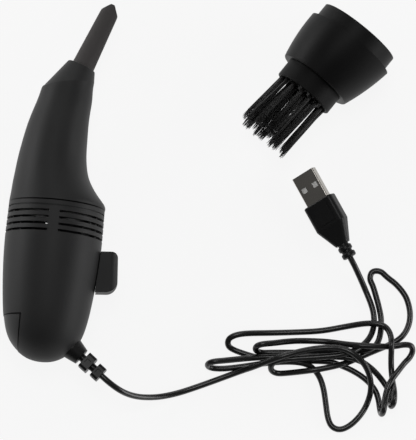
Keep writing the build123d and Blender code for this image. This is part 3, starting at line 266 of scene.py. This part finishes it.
finishes = {
    "upper_shell": housing_black, "lower_shell": housing_black, "nose_cover": housing_black,
    "corner_cover": corner_black, "nozzle": nozzle_grey, "switch_knob": knob_black,
    "strain_relief": pvc_black, "cord_stop": pvc_black, "cord_stub": cord_black,
    "plug_overmould": pvc_black, "plug_shell": nickel, "plug_tongue": white_plastic,
    "plug_contacts": gold, "brush_cup": brush_black, "bristle_block": block_black,
    "motor_can": steel, "motor_shaft": steel, "motor_magnets": ferrite,
    "armature_core": dull_steel, "armature_winding": copper, "commutator": bronze,
    "motor_brushes": gold, "front_bush": bronze, "rear_bush": bronze,
    "motor_end_bell": natural_nylon, "impeller": corner_black, "bulkhead": corner_black,
    "intake_plate": corner_black, "switch_plate": natural_nylon,
    "switch_actuator": white_plastic, "switch_body": steel, "circuit_board": board_green,
    "capacitor": capacitor_blue, "motor_leads": lead_red, "supply_leads": lead_red,
    "filter_frame": white_plastic, "housing_screws": screw_black, "motor_screws": screw_black,
}
for node, material in finishes.items():
    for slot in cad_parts[node].material_slots:
        slot.material = material

# ---------------------------------------------------------------- lead
CORD_DIAMETER = 2.9
CORD_ROUND_STEPS, CORD_LINE_STEPS = 5, 10   # how finely it is rounded, and its line divided
# Places on the table in millimetres, from the strain relief to the plug
cord_route = [
    (-46.0, -92.9, 23.1), (-40.2, -98.4, 23.1), (-31.5, -102.0, 15.5), (-21.0, -101.6, 7.5),
    (-11.0, -99.2, 2.6), (-0.5, -95.6, 1.6), (11.0, -91.4, 1.6), (21.0, -87.8, 2.6),
    (25.5, -86.7, 5.0), (30.2, -85.1, 7.0), (35.5, -83.5, 9.3), (40.7, -81.8, 10.4),
    (51.2, -78.8, 9.2), (61.1, -77.5, 8.6), (68.8, -78.1, 9.7), (74.5, -81.0, 9.9),
    (79.1, -85.4, 8.4), (81.7, -90.9, 6.6), (82.4, -97.1, 4.0), (80.6, -103.7, 1.6),
    (77.1, -109.6, 1.6), (72.3, -114.3, 1.6), (67.4, -116.5, 1.6), (63.3, -114.9, 1.6),
    (61.5, -110.4, 1.6), (60.7, -103.8, 1.6), (59.7, -96.4, 1.6), (57.8, -90.6, 1.8),
    (54.3, -86.3, 3.0),
    # loop towards the vacuum and back
    (49.8, -84.4, 4.8), (42.1, -83.8, 4.8), (31.7, -84.4, 3.0), (25.5, -85.2, 1.6),
    (20.2, -86.0, 1.6), (12.6, -86.9, 1.6), (7.1, -86.8, 1.6), (4.4, -86.1, 3.6), (4.4, -85.1, 7.2),
    (7.1, -84.4, 9.4), (12.6, -83.8, 8.2), (19.8, -82.8, 6.4), (28.3, -81.9, 4.9),
    (41.2, -81.3, 4.2), (53.1, -81.3, 4.2), (65.0, -81.4, 4.2), (72.1, -82.1, 5.2),
    (77.9, -83.8, 5.4), (83.2, -87.5, 3.4), (86.8, -91.3, 1.8), (89.3, -94.8, 1.6),
    (91.1, -97.9, 1.6),
    # first fold at the far side
    (91.6, -100.9, 1.6), (91.3, -104.5, 2.8), (91.9, -105.8, 6.6), (93.0, -104.2, 10.4),
    (93.2, -98.6, 9.6), (92.4, -93.0, 4.6), (91.9, -87.1, 3.6), (91.8, -81.7, 5.8),
    (92.0, -76.9, 9.2), (91.8, -71.2, 6.6), (89.5, -67.0, 4.8), (85.2, -65.5, 4.8),
    (79.3, -65.3, 3.8), (70.2, -66.6, 1.6), (59.3, -68.7, 1.6), (48.3, -69.3, 1.6),
    (34.0, -69.7, 1.8), (25.5, -70.0, 3.4),
    # narrow loop and back to the second fold
    (20.2, -70.5, 4.6), (16.4, -71.5, 4.6), (14.0, -73.2, 3.8), (14.0, -76.0, 2.4),
    (16.4, -77.7, 1.6), (21.2, -79.5, 1.6), (27.4, -81.4, 1.6), (36.4, -82.6, 1.6),
    (48.3, -83.1, 1.6), (56.9, -83.2, 1.6), (63.6, -83.6, 1.6), (67.9, -85.3, 1.6),
    (73.9, -87.9, 1.6), (80.0, -92.0, 1.6), (84.3, -96.9, 1.6), (85.9, -101.7, 1.6),
    # second fold
    (86.4, -105.8, 1.6), (86.8, -108.7, 3.4), (87.5, -109.4, 7.1), (88.2, -107.4, 9.9),
    (88.6, -102.4, 8.8), (89.7, -97.7, 8.2), (91.5, -93.6, 8.3), (94.5, -89.5, 6.6),
    (98.1, -84.4, 2.4), (100.9, -81.6, 1.6), (102.4, -78.5, 2.0), (101.7, -75.9, 3.8),
    (98.1, -75.7, 5.2), (94.0, -76.6, 5.4), (90.2, -76.7, 5.4), (85.5, -76.9, 7.4),
    (81.1, -76.8, 7.8), (76.0, -76.5, 8.0), (70.2, -75.6, 5.2), (64.5, -74.4, 2.6),
    (59.3, -73.7, 1.6), (48.3, -73.5, 2.4), (41.7, -74.3, 5.2), (36.0, -75.4, 8.0),
    # inner loop and up beside the plug's end
    (30.0, -76.1, 9.8), (27.2, -77.0, 7.9), (27.2, -78.5, 4.1), (30.0, -79.3, 2.0),
    (35.5, -79.1, 1.8), (47.4, -79.1, 1.6), (57.9, -78.9, 1.6), (66.4, -78.8, 2.0),
    (73.6, -78.6, 2.0), (78.8, -78.4, 2.8), (84.0, -77.1, 4.9), (86.2, -73.4, 3.6),
    (87.2, -68.5, 1.8), (87.4, -62.8, 1.6), (86.2, -56.7, 1.6), (84.5, -50.5, 1.6),
    (83.4, -46.8, 1.6),
    # top loop
    (81.8, -43.6, 1.6), (82.9, -39.8, 1.8), (87.2, -39.7, 2.0), (90.2, -42.8, 1.8),
    (94.7, -46.1, 1.6), (99.1, -51.6, 1.6), (100.8, -56.9, 1.6), (101.3, -61.7, 1.6),
    (100.4, -66.5, 1.6), (97.9, -71.0, 1.6), (93.9, -74.1, 1.6), (88.8, -76.4, 1.6),
    (82.6, -78.9, 1.6), (76.9, -81.5, 1.6), (71.7, -83.9, 3.0), (66.4, -85.8, 5.2),
    (59.3, -87.4, 5.6), (54.0, -88.2, 5.9), (48.8, -88.7, 4.8), (42.6, -89.1, 2.6),
    # last turn and on to the plug
    (37.3, -89.3, 1.6), (34.5, -87.9, 3.1), (34.5, -85.4, 5.8), (37.3, -83.8, 7.5),
    (42.6, -83.0, 7.4), (48.3, -82.6, 7.3), (57.9, -82.0, 7.2), (66.4, -81.3, 7.2),
    (72.1, -79.8, 6.6), (76.2, -77.5, 4.9), (80.0, -74.6, 3.8), (82.7, -70.6, 2.6),
    (84.0, -65.6, 1.6), (83.8, -60.3, 1.6), (82.5, -55.5, 1.6), (79.7, -48.6, 1.7),
    (77.1, -42.8, 3.4), (73.7, -36.0, 6.4), (71.5, -32.1, 6.4),
]


def cord_curve(name, points, diameter, material):
    """A round cord along one smooth open line."""
    data = bpy.data.curves.new(name, "CURVE")
    data.dimensions = "3D"
    data.bevel_depth = diameter / 2 * MM
    data.bevel_resolution = CORD_ROUND_STEPS
    data.resolution_u = CORD_LINE_STEPS
    data.use_fill_caps = True
    spline = data.splines.new("NURBS")
    spline.points.add(len(points) - 1)
    for control, place in zip(spline.points, points):
        control.co = (*(Vector(place) * MM), 1.0)
    spline.order_u = 3
    spline.use_endpoint_u = True
    data.materials.append(material)
    return new_object(name, data)


lead = cord_curve("lead", cord_route, CORD_DIAMETER, cord_black)
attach(lead, "housing")
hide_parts("power_cord", "cord_hank", "plug_cord")

# ---------------------------------------------------------------- bristles
BRISTLE_SEED = 7
BRUSH_PLACE = Vector((72.3, 67.0, 22.85))   # the shoulder's centre, where the brush axis starts
BRUSH_HEADING = math.radians(-128.7)        # the way the bristles point, from +X
CUP_DRIFT = 2.4                             # the block's axis lies off the collar's by this
TUFT_FACE = 33.15                           # from the shoulder to the block's front
TUFT_RINGS = [(12.6, 16), (7.9, 9)]         # ring radius, tufts
TUFT_RADIUS = 0.8
BRISTLES_PER_TUFT = 50
BRISTLE_RADIUS, BRISTLE_TIP_RADIUS = 0.17, 0.06
BRISTLE_LENGTHS = (26.5, 31.0)
BRISTLE_ROOT = 0.5                          # how far a bristle starts inside the block
OUTER_SHORTER = (1.0, 6.0)                  # what a tuft's outermost bristles lack in length
BRISTLE_SIDES, BRISTLE_STEPS = 4, 7
TIP_RADIUS = 1.35                           # a tuft's bristles spread to this at the tip
TUFT_LEAN = math.radians(1.4)               # towards the middle
TUFT_SWAY = math.radians(4.6)               # all to one side
TUFT_WANDER = 1.2                           # how far a tuft's tip strays sideways
TIP_WANDER = 0.3                            # and a single bristle's
BRISTLE_WAVE, BRISTLE_WAVES = 0.22, 1.1     # how far a bristle waves, and how often
FULL_TURN = 6.28                            # the range of a bristle's own direction
SPIRAL_STEP = 2.39996                       # the golden angle, which fills a disc evenly


def around(angle):
    """The direction at an angle round the z axis."""
    return Vector((math.cos(angle), math.sin(angle), 0))


def smooth_mesh(name, points, faces):
    """A mesh with smooth shading."""
    mesh = bpy.data.meshes.new(name)
    mesh.from_pydata(points, [], faces)
    mesh.shade_smooth()
    return mesh


def bristle_line(root, tip, wave, turn):
    """Places along one slightly wavy bristle."""
    line = []
    for step in range(BRISTLE_STEPS + 1):
        share = step / BRISTLE_STEPS
        sway = wave * math.sin(2 * BRISTLE_WAVES * math.pi * share + turn) * share
        line.append(root.lerp(tip, share) + sway * around(turn))
    return line


def add_rod(points, faces, line):
    """Adds a tapering rod with closed ends along a bristle's line."""
    start = len(points)
    for step, place in enumerate(line):
        along = step / BRISTLE_STEPS
        radius = BRISTLE_RADIUS + (BRISTLE_TIP_RADIUS - BRISTLE_RADIUS) * along**2
        for side in range(BRISTLE_SIDES):
            points.append(place + radius * around(2 * math.pi * side / BRISTLE_SIDES))
    for step in range(BRISTLE_STEPS):
        low = start + step * BRISTLE_SIDES
        high = low + BRISTLE_SIDES
        for side in range(BRISTLE_SIDES):
            beside = (side + 1) % BRISTLE_SIDES
            faces.append((low + side, low + beside, high + beside, high + side))
    last = start + BRISTLE_STEPS * BRISTLE_SIDES
    faces.append(tuple(start + side for side in reversed(range(BRISTLE_SIDES))))
    faces.append(tuple(last + side for side in range(BRISTLE_SIDES)))


def add_tuft(points, faces, dice, middle, outward, angle):
    """Adds one tuft, whose bristles start close together and spread to their tips."""
    stray = Vector((dice.gauss(0, TUFT_WANDER), dice.gauss(0, TUFT_WANDER), 0))
    tuft_length = dice.uniform(*BRISTLE_LENGTHS)
    tip_middle = middle - outward * tuft_length * math.tan(TUFT_LEAN) + stray
    tip_middle.x -= tuft_length * math.tan(TUFT_SWAY)
    for index in range(BRISTLES_PER_TUFT):
        share = math.sqrt((index + 0.5) / BRISTLES_PER_TUFT)
        beside = around(index * SPIRAL_STEP + angle) * share
        length = tuft_length - dice.uniform(*OUTER_SHORTER) * share
        root = middle + beside * TUFT_RADIUS + Vector((0, 0, TUFT_FACE - BRISTLE_ROOT))
        loose = Vector((dice.gauss(0, TIP_WANDER), dice.gauss(0, TIP_WANDER), 0))
        tip = tip_middle + beside * TIP_RADIUS + loose + Vector((0, 0, TUFT_FACE + length))
        wave = dice.uniform(0, BRISTLE_WAVE)
        turn = dice.uniform(0, FULL_TURN)
        add_rod(points, faces, bristle_line(root, tip, wave, turn))


def bristle_mesh():
    """All the brush head's bristles as one mesh, in the brush's own axes, in millimetres."""
    dice = random.Random(BRISTLE_SEED)
    points, faces = [], []
    for ring_radius, tufts in TUFT_RINGS:
        for tuft in range(tufts):
            angle = 2 * math.pi * tuft / tufts
            outward = around(angle)
            middle = outward * ring_radius - Vector((CUP_DRIFT, 0, 0))
            add_tuft(points, faces, dice, middle, outward, angle)
    return smooth_mesh("bristles", points, faces)


def put_in_place(made, origin, across, along):
    """Moves a piece from its own axes, in millimetres, to its place on the table."""
    turn = Matrix((across, along.cross(across), along)).transposed().to_4x4()
    made.data.transform(Matrix.Translation(origin * MM) @ turn @ Matrix.Scale(MM, 4))


bristles = new_object("bristles", bristle_mesh())
put_in_place(bristles, BRUSH_PLACE, around(BRUSH_HEADING + math.pi / 2), around(BRUSH_HEADING))
bristles.data.materials.append(bristle_black)
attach(bristles, "brush")
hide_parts("bristle_tufts")

# ---------------------------------------------------------------- filter
FILTER_BASE = 0.25                          # from the rim towards the tail
FILTER_RADIUS, FILTER_HEIGHT, FILTER_THICKNESS = 16.85, 15.0, 1.2
FILTER_PLEATS, PLEAT_DEPTH = 18, 0.35
FILTER_CLEAR = 0.05                         # how far the felt stays inside its CAD solid
FILTER_TURNS, FILTER_RINGS = 144, 22
FELT_SCALE, FELT_DETAIL = 1400.0, 6.0
FELT_ROUGHNESS, FELT_SHEEN = 0.9, 0.3
FELT_STRENGTH, FELT_DEPTH = 0.6, 0.05


def filter_mesh():
    """A felt dome with soft pleats, outside and inside, in the vacuum's own axes."""
    points, faces = [], []
    for inset in (PLEAT_DEPTH + FILTER_CLEAR, FILTER_THICKNESS - FILTER_CLEAR):
        for ring in range(FILTER_RINGS + 1):
            rise = math.pi / 2 * ring / FILTER_RINGS
            for turn in range(FILTER_TURNS):
                angle = 2 * math.pi * turn / FILTER_TURNS
                fold = PLEAT_DEPTH * math.cos(FILTER_PLEATS * angle) * math.sin(2 * rise)
                radius = (FILTER_RADIUS - inset + fold) * math.cos(rise)
                depth = (FILTER_HEIGHT - inset + fold) * math.sin(rise)
                points.append(radius * around(angle) + Vector((0, 0, FILTER_BASE - depth)))
    layer = (FILTER_RINGS + 1) * FILTER_TURNS
    for side in (0, 1):
        for ring in range(FILTER_RINGS):
            for turn in range(FILTER_TURNS):
                near = side * layer + ring * FILTER_TURNS + turn
                beside = side * layer + ring * FILTER_TURNS + (turn + 1) % FILTER_TURNS
                face = (near, near + FILTER_TURNS, beside + FILTER_TURNS, beside)
                faces.append(face if side == 0 else tuple(reversed(face)))
    for turn in range(FILTER_TURNS):
        beside = (turn + 1) % FILTER_TURNS
        faces.append((turn, beside, layer + beside, layer + turn))
    return smooth_mesh("filter", points, faces)


def felt(name, color, shade):
    """Pressed felt: matted fibres and a soft sheen."""
    material, nodes, links, shader = new_material(name)
    place = nodes.new("ShaderNodeTexCoord")
    fibres = noise(nodes, links, place, FELT_SCALE, FELT_DETAIL)
    share = spread(nodes, links, fibres.outputs["Fac"], 0.0, 1.0)
    links.new(blended(nodes, links, share, shade, color), shader.inputs["Base Color"])
    shader.inputs["Roughness"].default_value = FELT_ROUGHNESS
    shader.inputs["Sheen Weight"].default_value = FELT_SHEEN
    bumped(nodes, links, shader, fibres.outputs["Fac"], FELT_STRENGTH, FELT_DEPTH)
    return material


filter_dome = new_object("filter_dome", filter_mesh())
put_in_place(filter_dome, BODY_PLACE, sideways, tailward)
filter_dome.data.materials.append(felt("filter_felt", (0.74, 0.74, 0.72), (0.60, 0.60, 0.58)))
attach(filter_dome, "housing")
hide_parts("filter_bag")

# ---------------------------------------------------------------- floor
FLOOR_SIZE = 6.0
FLOOR_COLOR = (0.92, 0.92, 0.92, 1.0)
FLOOR_ROUGHNESS = 0.9
SHADOW_SHARE = 0.12                         # of the floor's look that lamps and shadows make


def floor_material():
    """Pale floor: white to the camera, and in reflections, with the object's soft shadow."""
    material, nodes, links, shader = new_material("floor")
    output = nodes["Material Output"]
    shader.inputs["Base Color"].default_value = FLOOR_COLOR
    shader.inputs["Roughness"].default_value = FLOOR_ROUGHNESS
    glow = nodes.new("ShaderNodeEmission")
    glow.inputs["Strength"].default_value = 1.0
    rays = nodes.new("ShaderNodeLightPath").outputs
    seen = math_node(nodes, links, "MAXIMUM", rays["Is Camera Ray"], rays["Is Glossy Ray"])
    clear = math_node(nodes, links, "MAXIMUM", seen, rays["Is Transmission Ray"])
    share = math_node(nodes, links, "MULTIPLY", clear, 1.0 - SHADOW_SHARE)
    mix = nodes.new("ShaderNodeMixShader")
    links.new(share, mix.inputs["Fac"])
    links.new(shader.outputs["BSDF"], mix.inputs[1])
    links.new(glow.outputs["Emission"], mix.inputs[2])
    links.new(mix.outputs["Shader"], output.inputs["Surface"])
    return material


half = FLOOR_SIZE / 2
corners = [(-half, -half, 0), (half, -half, 0), (half, half, 0), (-half, half, 0)]
floor_mesh = bpy.data.meshes.new("floor")
floor_mesh.from_pydata(corners, [], [(0, 1, 2, 3)])
floor_mesh.materials.append(floor_material())
floor = new_object("floor", floor_mesh)

# ---------------------------------------------------------------- light
LAMPS = {                                   # place, width and height, watts
    "left_box": ((-1.4, 0.60, 0.35), (1.3, 0.6), 9.0),
    "right_box": ((1.4, -0.20, 0.35), (1.3, 0.6), 9.0),
    "back_box": ((0.0, 1.5, 0.6), (1.6, 0.6), 5.0),
    "top_box": ((0.0, 0.5, 3.0), (1.0, 1.0), 14.0),
}
WORLD_COLOR = (1.0, 1.0, 1.0, 1.0)
WORLD_STRENGTH = 0.13


def softbox(name, place, size, power):
    """A rectangular lamp that faces the middle of the floor."""
    data = bpy.data.lights.new(name, "AREA")
    data.shape = "RECTANGLE"
    data.size, data.size_y = size
    data.energy = power
    lamp = new_object(name, data)
    lamp.location = place
    lamp.rotation_mode = "QUATERNION"
    lamp.rotation_quaternion = Vector(place).to_track_quat("Z", "Y")


for name, (place, size, power) in LAMPS.items():
    softbox(name, place, size, power)

world = bpy.data.worlds.new("world")
bpy.context.scene.world = world
world.use_nodes = True
background = world.node_tree.nodes["Background"]
background.inputs["Color"].default_value = WORLD_COLOR
background.inputs["Strength"].default_value = WORLD_STRENGTH
bpy.context.scene.view_settings.view_transform = "Standard"
